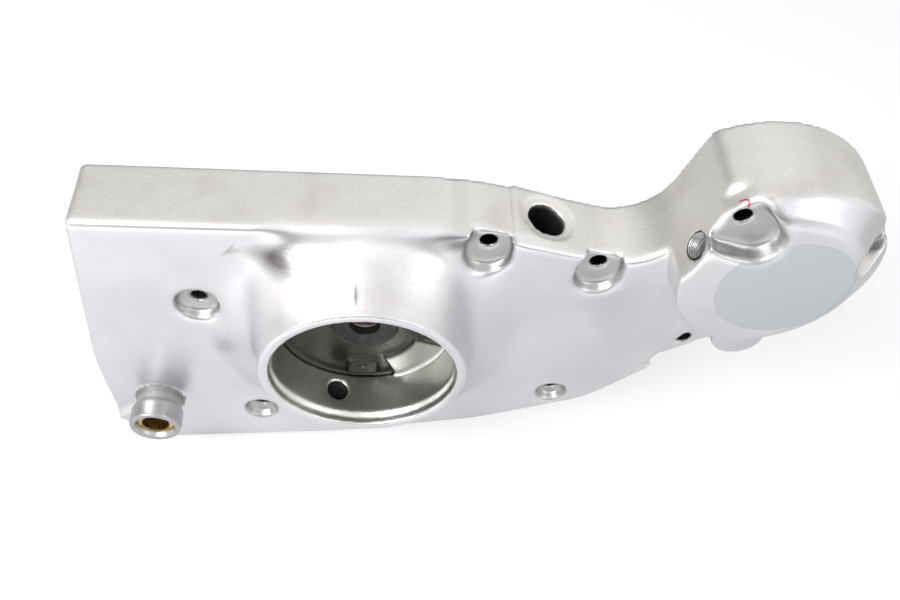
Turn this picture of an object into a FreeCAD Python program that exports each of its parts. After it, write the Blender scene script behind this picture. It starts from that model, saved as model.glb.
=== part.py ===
import FreeCAD, Part
import math
import os
import Sketcher

# Cam cover of an older V-twin motorcycle, cast in aluminium, with its pressed-in bushes and seal.
# Frame: X runs along the cover, Z up, and the outer face looks along -Y.
# The origin is on the axis of the large round housing, in the gasket plane Y = 0.
# Every height below is measured outward from the gasket plane, so it is minus Y.

SIZES = (
    # The outline is a belt drawn round these discs, seen from the outer face.
    ("low_left_x", -97.0), ("low_left_z", -80.0), ("low_left_r", 22.0),
    ("belly_x", -34.2), ("belly_z", 54.2), ("belly_r", 150.0),
    ("low_right_x", 37.5), ("low_right_z", -21.8), ("low_right_r", 60.0),
    ("heel_x", 80.0), ("heel_z", -19.8), ("heel_r", 45.5),
    ("waist_x", 150.5), ("waist_z", -27.5), ("waist_r", 12.0),
    ("gear_x", 157.0), ("gear_z", 45.1), ("gear_r", 50.8),
    ("brow_x", 137.3), ("brow_z", 84.5), ("brow_r", 7.0),
    ("saddle_x", 100.0), ("saddle_z", 70.0), ("saddle_r", 24.4),
    ("crest_x", 26.0), ("crest_z", -60.5), ("crest_r", 120.0),
    ("corner_x", -108.9), ("corner_z", 57.0), ("corner_r", 2.5),
    ("left_x", 29.5), ("left_z", -38.0), ("left_r", 150.0),
    # Heights and thicknesses of the casting.
    ("face_height", 31.0), ("dome_height", 47.0), ("wall", 5.0), ("roof", 6.0),
    ("edge_r", 2.5),
    # Raised housing of the idler gear: its round wall, its slope and the hollow under it.
    ("gear_wall_x", 164.0), ("gear_wall_z", 55.5), ("gear_wall_r", 44.5),
    ("dome_x", 153.8), ("dome_z", 53.0), ("dome_r", 37.4), ("dome_top_r", 33.4), ("slope_foot_r", 60.6),
    ("bevel_height", 45.4), ("block_low", 20.0),
    ("idler_x", 157.0), ("idler_z", 46.0), ("gear_hollow_r", 28.5), ("gear_hollow_height", 35.0),
    # Large round housing of the contact breaker, with its flared foot.
    ("rim_height", 58.0), ("rim_r", 42.7), ("recess_r", 38.5), ("recess_depth", 5.0),
    ("chamber_r", 37.2), ("chamber_floor", 31.5), ("flare_r", 57.5), ("flare_fillet", 13.0),
    ("flare_sink", 0.4), ("flare_lean", -6.8), ("rim_edge", 0.6),
    ("skirt_low", 28.0), ("skirt_z", -9.0), ("skirt_foot_r", 71.0), ("skirt_top", 50.0), ("skirt_top_r", 30.0),
    ("slant_foot_height", 21.0), ("slant_foot_r", 44.0), ("slant_reach", 59.8), ("slant_drop", 2.0),
    ("shoulder_r", 20.0), ("shoulder_reach", 59.4), ("shoulder_left_x", -30.0), ("shoulder_right_x", 21.0),
    # Fittings on the chamber floor, and the cable hole in its wall.
    ("cable_hole_r", 4.8), ("cable_hole_height", 42.0), ("cable_hole_turn", -108.0),
    ("cable_hole_depth", 5.0),
    ("post_x", -0.8), ("post_z", -29.5), ("post_width", 13.0), ("post_depth", 9.5), ("post_height", 2.0),
    ("post_hole_r", 1.9),
    ("ledge_inner_r", 23.0), ("ledge_start", -68.0), ("ledge_end", -17.0), ("ledge_height", 2.5),
    # Screw holes through the cover and the scooped seats of their heads.
    ("screw_r", 3.3), ("seat_height", 26.0), ("seat_r", 9.4), ("seat_drop", 4.5),
    ("high_seat", 39.0), ("high_seat_left_x", -2.3), ("high_seat_left_z", -4.5),
    ("high_seat_right_x", 7.0), ("high_seat_right_z", -7.5),
    ("pillar_r", 5.5), ("pillar_wall", 3.5),
    ("seat_boss_r", 10.5), ("seat_boss_shift", 5.0), ("seat_boss_low", 19.0),
    ("screw_one_x", 48.0), ("screw_one_z", 51.0),
    ("screw_two_x", 93.8), ("screw_two_z", 40.4),
    ("screw_three_x", 136.3), ("screw_three_z", 84.0),
    ("screw_four_x", 195.2), ("screw_four_z", 66.3), ("screw_four_turn", 29.0),
    ("ear_x", 143.7), ("ear_z", -11.7), ("ear_r", 7.5), ("ear_toe_x", 136.0), ("ear_toe_z", -18.5),
    ("ear_toe_r", 6.5),
    # Flat shelf cut in the face for the ear's screw head, each corner measured from that screw.
    ("shelf_top_x", -2.8), ("shelf_top_z", 10.5), ("shelf_low_x", -15.5), ("shelf_low_z", -16.8),
    ("shelf_end_x", 20.0), ("shelf_wall", 9.9),
    ("sink_depth", 5.0),
    ("screw_five_x", -69.0), ("screw_five_z", 10.2), ("sink_five_r", 9.2),
    ("screw_six_x", -49.7), ("screw_six_z", -73.0), ("sink_six_r", 7.4),
    ("screw_seven_x", 89.4), ("screw_seven_z", -52.9), ("sink_seven_r", 6.8),
    # Lug below the gear housing.
    ("lug_x", 169.5), ("lug_z", -12.0), ("lug_r", 12.0), ("lug_height", 25.4),
    # Boss of the shift shaft, at the lower left, with its brass bush.
    ("shift_x", -96.0), ("shift_z", -62.5), ("shift_r", 11.7), ("shift_height", 48.0),
    ("shift_foot_r", 10.4), ("shift_collar_height", 9.5), ("shift_edge", 0.8),
    ("shift_sink_r", 8.9), ("shift_sink_depth", 2.6),
    ("shift_bush_r", 7.9), ("shift_bore_r", 6.2), ("shift_bush_length", 24.0), ("shift_well_r", 9.5),
    # Round port in the sloping stretch of the upper wall.
    ("port_x", 72.5), ("port_z", 52.2), ("port_height", 13.5), ("port_turn", 73.5), ("port_r", 8.0),
    ("port_ring_r", 11.6), ("port_ring_depth", 1.0), ("port_pad_left", 15.0), ("port_pad_right", 20.0),
    ("port_pad_height", 26.5), ("port_boss_r", 12.5), ("port_boss_depth", 17.0), ("port_end", 2.0),
    # Threaded hole in the side of the gear housing.
    ("tapping_x", 124.2), ("tapping_z", 66.3), ("tapping_height", 38.0), ("tapping_r", 5.3),
    ("tapping_turn", 157.0), ("tapping_depth", 5.0),
    # Bushes pressed into bosses inside the cover.
    ("boss_height", 1.0), ("boss_wall", 5.0), ("bush_proud", 1.0), ("bush_length", 15.0),
    ("cam_bush_r", 11.1), ("cam_bore_r", 8.7), ("pinion_bush_r", 14.3), ("pinion_bore_r", 11.1),
    ("idler_bush_r", 10.3), ("idler_bore_r", 7.9),
    ("cam_one_x", -46.0), ("cam_one_z", -16.0),
    ("cam_three_x", 46.0), ("cam_three_z", 2.0),
    ("cam_four_x", 90.0), ("cam_four_z", -14.0),
    ("pinion_x", 22.0), ("pinion_z", -46.0),
    ("seal_r", 14.0), ("seal_bore_r", 6.6), ("seal_thickness", 4.0), ("shaft_hole_r", 9.5),
    # Dowel holes in the gasket face, and the ribs under the face.
    ("dowel_r", 4.0), ("dowel_depth", 10.0), ("dowel_boss_r", 8.0),
    ("dowel_one_x", -100.0), ("dowel_one_z", 30.0), ("dowel_two_x", 118.0), ("dowel_two_z", 38.0),
    ("rib_width", 4.0), ("rib_height", 8.0),
)


class Size:
    """A length that knows its formula on the sheet and its present value."""

    def __init__(self, text, number):
        self.text = text
        self.number = number

    def join(self, sign, other, number):
        text = other.text if isinstance(other, Size) else repr(other)
        return Size("(%s %s %s)" % (self.text, sign, text), number)

    def __add__(self, other):
        return self.join("+", other, self.number + plain(other))

    def __sub__(self, other):
        return self.join("-", other, self.number - plain(other))

    def __mul__(self, other):
        return self.join("*", other, self.number * plain(other))

    def __truediv__(self, other):
        return self.join("/", other, self.number / plain(other))

    def __neg__(self):
        return Size("(-%s)" % self.text, -self.number)


def plain(value):
    return value.number if isinstance(value, Size) else value


doc = FreeCAD.newDocument("cam_cover")
sheet = doc.addObject("Spreadsheet::Sheet", "Sizes")
for row, (alias, value) in enumerate(SIZES, start=1):
    sheet.set("A%d" % row, alias)
    sheet.set("B%d" % row, str(value))
    sheet.setAlias("B%d" % row, alias)
doc.recompute()


class Sheet:
    """Gives each size of the sheet as an attribute."""

    def __getattr__(self, alias):
        return Size("Sizes." + alias, float(sheet.get(alias)))


s = Sheet()
ZERO = Size("0", 0.0)
OUTWARD = FreeCAD.Rotation(FreeCAD.Vector(1, 0, 0), 90)


def bind(item, path, size):
    item.setExpression(path, size.text)


def new_body(label):
    body = doc.addObject("PartDesign::Body", label)
    body.Label = label
    return body


def plane_of(body, role):
    return [plane for plane in body.Origin.OriginFeatures if plane.Role == role][0]


def new_sketch(body, name, height=ZERO, role="XZ_Plane"):
    """A sketch parallel to the gasket plane, at a height outward from it."""
    sketch = body.newObject("Sketcher::SketchObject", name)
    sketch.AttachmentSupport = [(plane_of(body, role), "")]
    sketch.MapMode = "FlatFace"
    sketch.AttachmentOffset = FreeCAD.Placement(FreeCAD.Vector(0, 0, height.number), FreeCAD.Rotation())
    bind(sketch, "AttachmentOffset.Base.z", height)
    return sketch


def pin_point(sketch, geometry, point, x, y):
    for kind, size in (("DistanceX", x), ("DistanceY", y)):
        at = sketch.addConstraint(Sketcher.Constraint(kind, -1, 1, geometry, point, size.number))
        bind(sketch, "Constraints[%d]" % at, size)


def pin_radius(sketch, geometry, radius):
    at = sketch.addConstraint(Sketcher.Constraint("Radius", geometry, radius.number))
    bind(sketch, "Constraints[%d]" % at, radius)


def draw_circle(sketch, x, z, radius):
    centre = FreeCAD.Vector(x.number, z.number, 0)
    circle = sketch.addGeometry(Part.Circle(centre, FreeCAD.Vector(0, 0, 1), radius.number))
    pin_point(sketch, circle, 3, x, z)
    pin_radius(sketch, circle, radius)


def draw_polygon(sketch, corners):
    """Straight lines through corners whose places are sizes."""
    lines = []
    for index, (x, z) in enumerate(corners):
        next_x, next_z = corners[(index + 1) % len(corners)]
        start = FreeCAD.Vector(x.number, z.number, 0)
        end = FreeCAD.Vector(next_x.number, next_z.number, 0)
        lines.append(sketch.addGeometry(Part.LineSegment(start, end)))
    for index, line in enumerate(lines):
        following = lines[(index + 1) % len(lines)]
        sketch.addConstraint(Sketcher.Constraint("Coincident", line, 2, following, 1))
        pin_point(sketch, line, 1, *corners[index])


def tangent_normal(first, second):
    """The direction, as an angle, in which the belt between two discs faces."""
    dx = second[0].number - first[0].number
    dz = second[1].number - first[1].number
    reach = (first[2].number - second[2].number) / math.hypot(dx, dz)
    return math.atan2(dz, dx) - math.acos(reach)


def rim_point(disc, angle):
    x, z, radius = (size.number for size in disc)
    return FreeCAD.Vector(x + radius * math.cos(angle), z + radius * math.sin(angle), 0)


def draw_belt(sketch, discs):
    """A closed belt round discs (x, z, radius), counter-clockwise; a negative radius is a hollow."""
    normals = [tangent_normal(disc, discs[(index + 1) % len(discs)]) for index, disc in enumerate(discs)]
    arcs = []
    for index, disc in enumerate(discs):
        x, z, radius = disc
        turn = (normals[index] - normals[index - 1]) % (2 * math.pi)
        middle = normals[index - 1] + turn / 2
        if radius.number < 0:
            middle = normals[index - 1] - ((-turn) % (2 * math.pi)) / 2
        ends = (rim_point(disc, normals[index - 1]), rim_point(disc, middle), rim_point(disc, normals[index]))
        arc = sketch.addGeometry(Part.Arc(*ends))
        pin_point(sketch, arc, 3, x, z)
        pin_radius(sketch, arc, radius if radius.number > 0 else -radius)
        arcs.append(arc)
    for index, disc in enumerate(discs):
        following = (index + 1) % len(discs)
        start = rim_point(disc, normals[index])
        end = rim_point(discs[following], normals[index])
        line = sketch.addGeometry(Part.LineSegment(start, end))
        leaving = 2 if disc[2].number > 0 else 1
        arriving = 1 if discs[following][2].number > 0 else 2
        sketch.addConstraint(Sketcher.Constraint("Tangent", line, 1, arcs[index], leaving))
        sketch.addConstraint(Sketcher.Constraint("Tangent", line, 2, arcs[following], arriving))


def draw_sector(sketch, inner, outer, start, end):
    """A closed sector round the origin between two radii and two angles in degrees."""
    first, last = math.radians(start.number), math.radians(end.number)
    axis = FreeCAD.Vector(0, 0, 1)
    arcs = []
    for radius in (inner, outer):
        circle = Part.Circle(FreeCAD.Vector(0, 0, 0), axis, radius.number)
        arc = sketch.addGeometry(Part.ArcOfCircle(circle, first, last))
        pin_point(sketch, arc, 3, ZERO, ZERO)
        pin_radius(sketch, arc, radius)
        arcs.append(arc)
    for point, turn in ((1, start), (2, end)):
        ends = [moved(ZERO, ZERO, turn, radius) for radius in (inner, outer)]
        line = sketch.addGeometry(Part.LineSegment(*[FreeCAD.Vector(x.number, z.number, 0) for x, z in ends]))
        sketch.addConstraint(Sketcher.Constraint("Coincident", line, 1, arcs[0], point))
        sketch.addConstraint(Sketcher.Constraint("Coincident", line, 2, arcs[1], point))
        at = sketch.addConstraint(Sketcher.Constraint("Angle", line, math.radians(turn.number)))
        sketch.setExpression("Constraints[%d]" % at, turn.text + " * 1 deg")


def extrude(body, kind, name, sketch, length, inward=False):
    feature = body.newObject("PartDesign::" + kind, name)
    feature.Profile = sketch
    feature.Length = length.number
    bind(feature, "Length", length)
    feature.Reversed = inward
    sketch.Visibility = False
    return feature


def cylinder(body, kind, name, x, height, z, radius, length, turn=None):
    """A round feature whose axis points outward, or as turn says."""
    feature = body.newObject("PartDesign::%sCylinder" % kind, name)
    base = FreeCAD.Vector(x.number, -height.number, z.number)
    feature.Placement = FreeCAD.Placement(base, turn or OUTWARD)
    feature.Radius = radius.number
    feature.Height = length.number
    bind(feature, "Radius", radius)
    bind(feature, "Height", length)
    bind(feature, "Placement.Base.x", x)
    bind(feature, "Placement.Base.y", -height)
    bind(feature, "Placement.Base.z", z)
    return feature


def moved(x, z, turn, distance):
    """The point a distance away, in a direction given in degrees from the X axis."""
    angle = math.radians(turn.number)
    across = Size("cos(%s * 1 deg)" % turn.text, math.cos(angle))
    along = Size("sin(%s * 1 deg)" % turn.text, math.sin(angle))
    return x + across * distance, z + along * distance


def side_on(turn):
    """The rotation that lays a cylinder's axis in the plan, in the direction turn."""
    angle = math.radians(turn.number)
    return FreeCAD.Rotation(FreeCAD.Vector(0, 0, 1), FreeCAD.Vector(math.cos(angle), 0, math.sin(angle)))


def edges_where(feature, wanted):
    names = []
    for index, edge in enumerate(feature.Shape.Edges, start=1):
        if wanted(edge):
            names.append("Edge%d" % index)
    return names


def at_height(edge, height):
    box = edge.BoundBox
    return abs(box.YMin + height.number) < 1e-4 and abs(box.YMax + height.number) < 1e-4


def dress(body, kind, name, base, wanted, size):
    feature = body.newObject("PartDesign::" + kind, name)
    doc.recompute()
    feature.Base = (base, edges_where(base, wanted))
    path = "Radius" if kind == "Fillet" else "Size"
    setattr(feature, path, size.number)
    bind(feature, path, size)
    doc.recompute()
    return feature


def outline(inset, at_waist=ZERO):
    """The discs of the cover's outline, moved inward by an even wall, thicker at the waist if asked."""
    discs = []
    for name in ("low_left", "belly", "low_right", "heel", "waist", "gear", "brow", "saddle", "crest"):
        x, z, radius = (getattr(s, name + end) for end in ("_x", "_z", "_r"))
        if name == "waist":
            discs.append((x, z, -(radius + inset + at_waist)))
        elif name == "saddle":
            discs.append((x, z, -(radius + inset)))
        else:
            discs.append((x, z, radius - inset))
    discs.append((s.corner_x + inset, s.corner_z - inset, s.corner_r))
    discs.append((s.left_x, s.left_z, s.left_r - inset))
    return discs


WALL_SCREWS = ((s.screw_one_x, s.screw_one_z), (s.screw_two_x, s.screw_two_z),
               (s.screw_three_x, s.screw_three_z), (s.screw_four_x, s.screw_four_z))
FACE_SCREWS = ((s.screw_five_x, s.screw_five_z, s.sink_five_r),
               (s.screw_six_x, s.screw_six_z, s.sink_six_r),
               (s.screw_seven_x, s.screw_seven_z, s.sink_seven_r))
INNER_TOP = s.face_height - s.roof
CLEAR = s.dome_height
ONE = Size("1", 1.0)
HALF = Size("0.5", 0.5)
RIGHT_ANGLE = Size("90", 90.0)
BUSHES = (("cam_bush_one", s.cam_one_x, s.cam_one_z, s.cam_bush_r, s.cam_bore_r),
          ("cam_bush_two", ZERO, ZERO, s.cam_bush_r, s.cam_bore_r),
          ("cam_bush_three", s.cam_three_x, s.cam_three_z, s.cam_bush_r, s.cam_bore_r),
          ("cam_bush_four", s.cam_four_x, s.cam_four_z, s.cam_bush_r, s.cam_bore_r),
          ("pinion_bush", s.pinion_x, s.pinion_z, s.pinion_bush_r, s.pinion_bore_r),
          ("idler_bush", s.idler_x, s.idler_z, s.idler_bush_r, s.idler_bore_r))
DOWELS = ((s.dowel_one_x, s.dowel_one_z), (s.dowel_two_x, s.dowel_two_z))
HALF_RIB = s.rib_width / 2
RIBS = ((-s.left_r * 0.77, s.cam_one_z - HALF_RIB, s.cam_one_x - s.cam_bush_r - ONE, s.cam_one_z + HALF_RIB),
        (s.cam_one_x + s.cam_bush_r, s.cam_one_z / 2 - HALF_RIB, -s.cam_bush_r, s.cam_one_z / 2 + HALF_RIB),
        (-HALF_RIB, s.cam_bush_r + ONE, HALF_RIB, s.rim_height - ONE))


def draw_circles(sketch, circles):
    for x, z, radius in circles:
        draw_circle(sketch, x, z, radius)


def place_cone(body, kind, name, x, height, z, sizes):
    """A cone whose axis points outward; sizes are its lower radius, upper radius and height."""
    cone = body.newObject("PartDesign::%sCone" % kind, name)
    cone.Placement = FreeCAD.Placement(FreeCAD.Vector(0, 0, 0), OUTWARD)
    for path, size in zip(("Radius1", "Radius2", "Height"), sizes):
        bind(cone, path, size)
    for path, size in (("x", x), ("y", -height), ("z", z)):
        bind(cone, "Placement.Base." + path, size)


def build_gear_form():
    """The gear housing's block: a bevelled cone kept only inside the outline and a round wall."""
    form = new_body("gear_housing_form")
    place_cone(form, "Additive", "slope", s.dome_x, s.block_low, s.dome_z,
               (s.slope_foot_r, s.dome_r, s.bevel_height - s.block_low))
    place_cone(form, "Additive", "bevel", s.dome_x, s.bevel_height, s.dome_z,
               (s.dome_r, s.dome_top_r, s.dome_height - s.bevel_height))
    round_wall = (s.gear_wall_x, s.gear_wall_z, s.gear_wall_r)
    for name, draw, kept in (("inside_outline", draw_belt, [outline(ZERO)]),
                             ("inside_wall", draw_circle, round_wall)):
        sketch = new_sketch(form, name + "_sketch", s.dome_height + ONE)
        draw(sketch, *kept)
        far = s.rim_r * 8
        draw_polygon(sketch, [(-far, -far), (far, -far), (far, far), (-far, far)])
        extrude(form, "Pocket", name, sketch, s.dome_height - s.block_low + ONE * 2)
    doc.recompute()
    return form


def build_form(body):
    """The outer form: the outline with a rounded face edge, joined to the gear housing's block."""
    sketch = new_sketch(body, "outline_sketch")
    draw_belt(sketch, outline(ZERO))
    slab = extrude(body, "Pad", "outline_pad", sketch, s.face_height)
    doc.recompute()
    dress(body, "Fillet", "face_edges", slab, lambda edge: at_height(edge, s.face_height), s.edge_r)
    form = build_gear_form()
    joined = body.newObject("PartDesign::Boolean", "outer_form")
    joined.Group = [form]
    joined.Type = "Fuse"
    doc.recompute()


def build_housing(body):
    """The round housing: a turned form whose foot flares into the face, on a low cone."""
    sketch = new_sketch(body, "housing_sketch", ZERO, "YZ_Plane")
    root = s.face_height - s.roof / 2
    low = s.face_height - s.flare_sink
    foot = low + s.flare_fillet
    lean = s.flare_lean
    lean_x, lean_y = moved(-foot, s.flare_r, -(lean + 90), s.flare_fillet)
    corners = ((lean_x, lean_y), (-s.rim_height, s.rim_r), (-s.rim_height, ZERO), (-root, ZERO),
               (-root, s.flare_r), (-low, s.flare_r))
    points = [FreeCAD.Vector(x.number, y.number, 0) for x, y in corners]
    centre = FreeCAD.Vector(-foot.number, s.flare_r.number, 0)
    circle = Part.Circle(centre, FreeCAD.Vector(0, 0, 1), s.flare_fillet.number)
    arc = sketch.addGeometry(Part.ArcOfCircle(circle, -math.radians(lean.number + 90), 0))
    lines = [sketch.addGeometry(Part.LineSegment(*pair)) for pair in zip(points, points[1:])]
    for line, (x, y) in zip(lines, corners):
        pin_point(sketch, line, 1, x, y)
    for first, second in zip(lines, lines[1:]):
        sketch.addConstraint(Sketcher.Constraint("Coincident", first, 2, second, 1))
    pin_point(sketch, lines[-1], 2, -low, s.flare_r)
    sketch.addConstraint(Sketcher.Constraint("Coincident", lines[0], 1, arc, 1))
    sketch.addConstraint(Sketcher.Constraint("Coincident", lines[-1], 2, arc, 2))
    at = sketch.addConstraint(Sketcher.Constraint("DistanceX", -1, 1, arc, 3, centre.x))
    bind(sketch, "Constraints[%d]" % at, -foot)
    turned = body.newObject("PartDesign::Revolution", "housing")
    turned.Profile = sketch
    turned.ReferenceAxis = (sketch, ["H_Axis"])
    turned.Angle = 360
    sketch.Visibility = False
    place_cone(body, "Additive", "skirt", ZERO, s.skirt_low, s.skirt_z,
               (s.skirt_foot_r, s.skirt_top_r, s.skirt_top - s.skirt_low))


def build_slant(body):
    """The wide slanting shoulder that carries the upper wall smoothly up to the rim."""
    rim = s.rim_height - s.slant_drop
    rim_r = s.rim_r + s.slant_drop * 0.15
    inside = rim - s.slant_drop
    inside_r = s.rim_r - ONE
    for name, x, reach, radius, top, top_r in (
            ("middle", ZERO, s.slant_reach, s.slant_foot_r, rim, rim_r),
            ("left", s.shoulder_left_x, s.shoulder_reach, s.shoulder_r, inside, inside_r),
            ("right", s.shoulder_right_x, s.shoulder_reach, s.shoulder_r, inside, inside_r)):
        low = new_sketch(body, "slant_foot_" + name, s.slant_foot_height)
        draw_circle(low, x, reach - radius, radius)
        high = new_sketch(body, "slant_top_" + name, top)
        draw_circle(high, ZERO, ZERO, top_r)
        loft = body.newObject("PartDesign::AdditiveLoft", "slant_" + name)
        loft.Profile = low
        loft.Sections = [high]
        loft.Ruled = True
        low.Visibility = False
        high.Visibility = False


def build_outer_bosses(body):
    """The lug below the gear housing, the ear of the lowest screw and its shelf, and the port's pad."""
    cylinder(body, "Additive", "lug", s.lug_x, ZERO, s.lug_z, s.lug_r, s.lug_height)
    sketch = new_sketch(body, "ear_sketch")
    draw_belt(sketch, [(s.ear_toe_x, s.ear_toe_z, s.ear_toe_r), (s.ear_x, s.ear_z, s.ear_r),
                       (s.ear_toe_x, s.ear_z + s.ear_r, s.ear_toe_r)])
    extrude(body, "Pad", "ear", sketch, s.seat_height - HALF)
    sketch = new_sketch(body, "port_pad_sketch")
    along = s.port_turn - 90
    left = moved(s.port_x, s.port_z, along, -s.port_pad_left)
    right = moved(s.port_x, s.port_z, along, s.port_pad_right)
    draw_polygon(sketch, [left, moved(left[0], left[1], s.port_turn, -s.wall),
                          moved(right[0], right[1], s.port_turn, -s.wall), right])
    extrude(body, "Pad", "port_pad", sketch, s.port_pad_height)


def build_hollow(body):
    """The gear chamber, open towards the engine; its upper part leaves the shelf of the ear thick."""
    sketch = new_sketch(body, "hollow_sketch")
    draw_belt(sketch, outline(s.wall))
    extrude(body, "Pocket", "hollow", sketch, s.seat_boss_low, inward=True)
    sketch = new_sketch(body, "upper_hollow_sketch", s.seat_boss_low)
    draw_belt(sketch, outline(s.wall, s.shelf_wall))
    extrude(body, "Pocket", "upper_hollow", sketch, INNER_TOP - s.seat_boss_low, inward=True)
    cylinder(body, "Subtractive", "gear_hollow", s.idler_x, ZERO, s.idler_z, s.gear_hollow_r,
             s.gear_hollow_height)


def build_inner_bosses(body):
    """Pillars of the screws and dowels, bosses of the bushes, and the ribs between them."""
    rest = s.face_height - s.roof / 2
    sketch = new_sketch(body, "pillar_sketch")
    draw_circles(sketch, [(x, z, s.pillar_r) for x, z in WALL_SCREWS])
    draw_circles(sketch, [(x, z, radius + s.pillar_wall) for x, z, radius in FACE_SCREWS])
    draw_circles(sketch, [(x, z, s.dowel_boss_r) for x, z in DOWELS])
    draw_circle(sketch, s.shift_x, s.shift_z, s.shift_r)
    extrude(body, "Pad", "pillars", sketch, rest)
    sketch = new_sketch(body, "bush_boss_sketch", s.boss_height)
    draw_circles(sketch, [(x, z, radius + s.boss_wall) for _, x, z, radius, _ in BUSHES[:5]])
    extrude(body, "Pad", "bush_bosses", sketch, rest - s.boss_height)
    cylinder(body, "Additive", "idler_boss", s.idler_x, s.boss_height, s.idler_z, s.idler_bush_r + s.boss_wall,
             s.gear_hollow_height + ONE - s.boss_height)
    sketch = new_sketch(body, "seat_boss_sketch", s.seat_boss_low)
    for x, z, turn in ((s.screw_one_x, s.screw_one_z, RIGHT_ANGLE), (s.screw_two_x, s.screw_two_z, RIGHT_ANGLE),
                       (s.screw_four_x, s.screw_four_z, s.screw_four_turn)):
        near_x, near_z = moved(x, z, turn, -s.seat_boss_shift)
        draw_circle(sketch, near_x, near_z, s.seat_boss_r)
    extrude(body, "Pad", "seat_bosses", sketch, rest - s.seat_boss_low)
    inward = s.port_turn + 180
    x, z = moved(s.port_x, s.port_z, inward, ONE)
    cylinder(body, "Additive", "port_boss", x, s.port_height, z, s.port_boss_r, s.port_boss_depth, side_on(inward))
    sketch = new_sketch(body, "rib_sketch", INNER_TOP - s.rib_height)
    for left, low, right, high in RIBS:
        draw_polygon(sketch, [(left, low), (right, low), (right, high), (left, high)])
    extrude(body, "Pad", "ribs", sketch, s.rib_height + s.roof / 2)


def build_shift_boss(body):
    """The shift shaft's boss on the face, wider towards its end."""
    cylinder(body, "Additive", "shift_foot", s.shift_x, INNER_TOP + ONE, s.shift_z, s.shift_foot_r,
             s.shift_height - INNER_TOP - ONE * 2)
    cylinder(body, "Additive", "shift_collar", s.shift_x, s.shift_height - s.shift_collar_height, s.shift_z,
             s.shift_r, s.shift_collar_height)


def build_seats(body):
    """Screw holes, with scooped seats at the edge and sunk ones in the face."""
    sketch = new_sketch(body, "seat_sketch", s.seat_height)
    for x, z in WALL_SCREWS[:2]:
        draw_belt(sketch, [(x, z, s.seat_r), (x, z - s.seat_drop, s.seat_r)])
    draw_circle(sketch, s.screw_four_x, s.screw_four_z, s.seat_r)
    extrude(body, "Pocket", "seats", sketch, CLEAR, inward=True)
    sketch = new_sketch(body, "high_seat_sketch", s.high_seat)
    x, z = WALL_SCREWS[2]
    draw_belt(sketch, [(x, z, s.seat_r), (x + s.high_seat_left_x, z + s.high_seat_left_z, s.seat_r),
                       (x + s.high_seat_right_x, z + s.high_seat_right_z, s.seat_r)])
    extrude(body, "Pocket", "high_seat", sketch, CLEAR, inward=True)
    sketch = new_sketch(body, "sink_sketch", s.face_height - s.sink_depth)
    draw_circles(sketch, FACE_SCREWS)
    extrude(body, "Pocket", "sinks", sketch, s.sink_depth + s.roof, inward=True)
    sketch = new_sketch(body, "shelf_sketch", s.seat_height)
    end = s.ear_x + s.shelf_end_x
    draw_polygon(sketch, [(s.ear_x + s.shelf_top_x, s.ear_z + s.shelf_top_z),
                          (s.ear_x + s.shelf_low_x, s.ear_z + s.shelf_low_z),
                          (end, s.ear_z + s.shelf_low_z), (end, s.ear_z + s.shelf_top_z)])
    extrude(body, "Pocket", "shelf", sketch, s.roof * 2, inward=True)
    sketch = new_sketch(body, "screw_hole_sketch")
    draw_circles(sketch, [(x, z, s.screw_r) for x, z in WALL_SCREWS])
    draw_circles(sketch, [(x, z, s.screw_r) for x, z, _ in FACE_SCREWS])
    draw_circle(sketch, s.ear_x, s.ear_z, s.screw_r)
    extrude(body, "Pocket", "screw_holes", sketch, CLEAR, inward=True)
    sketch = new_sketch(body, "dowel_sketch")
    draw_circles(sketch, [(x, z, s.dowel_r) for x, z in DOWELS])
    extrude(body, "Pocket", "dowel_holes", sketch, s.dowel_depth, inward=True)


def build_chamber(body):
    """The contact breaker's chamber, its stepped rim, the post and ledge on its floor."""
    cylinder(body, "Subtractive", "recess", ZERO, s.rim_height - s.recess_depth, ZERO, s.recess_r, CLEAR)
    cylinder(body, "Subtractive", "chamber", ZERO, s.chamber_floor, ZERO, s.chamber_r, CLEAR)
    sketch = new_sketch(body, "post_sketch", s.chamber_floor - ONE)
    across = s.post_width / 2
    deep = s.post_depth / 2
    draw_polygon(sketch, [(s.post_x - across, s.post_z - deep), (s.post_x + across, s.post_z - deep),
                          (s.post_x + across, s.post_z + deep), (s.post_x - across, s.post_z + deep)])
    extrude(body, "Pad", "post", sketch, s.post_height + ONE)
    sketch = new_sketch(body, "ledge_sketch", s.chamber_floor - ONE)
    draw_sector(sketch, s.ledge_inner_r, s.chamber_r + ONE, s.ledge_start, s.ledge_end)
    extrude(body, "Pad", "ledge", sketch, s.ledge_height + ONE)
    cylinder(body, "Subtractive", "post_hole", s.post_x, s.face_height, s.post_z, s.post_hole_r, CLEAR)
    x, z = moved(ZERO, ZERO, s.cable_hole_turn, s.chamber_r - ONE * 2)
    cylinder(body, "Subtractive", "cable_hole", x, s.cable_hole_height, z, s.cable_hole_r,
             s.cable_hole_depth + ONE * 2, side_on(s.cable_hole_turn))


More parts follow.
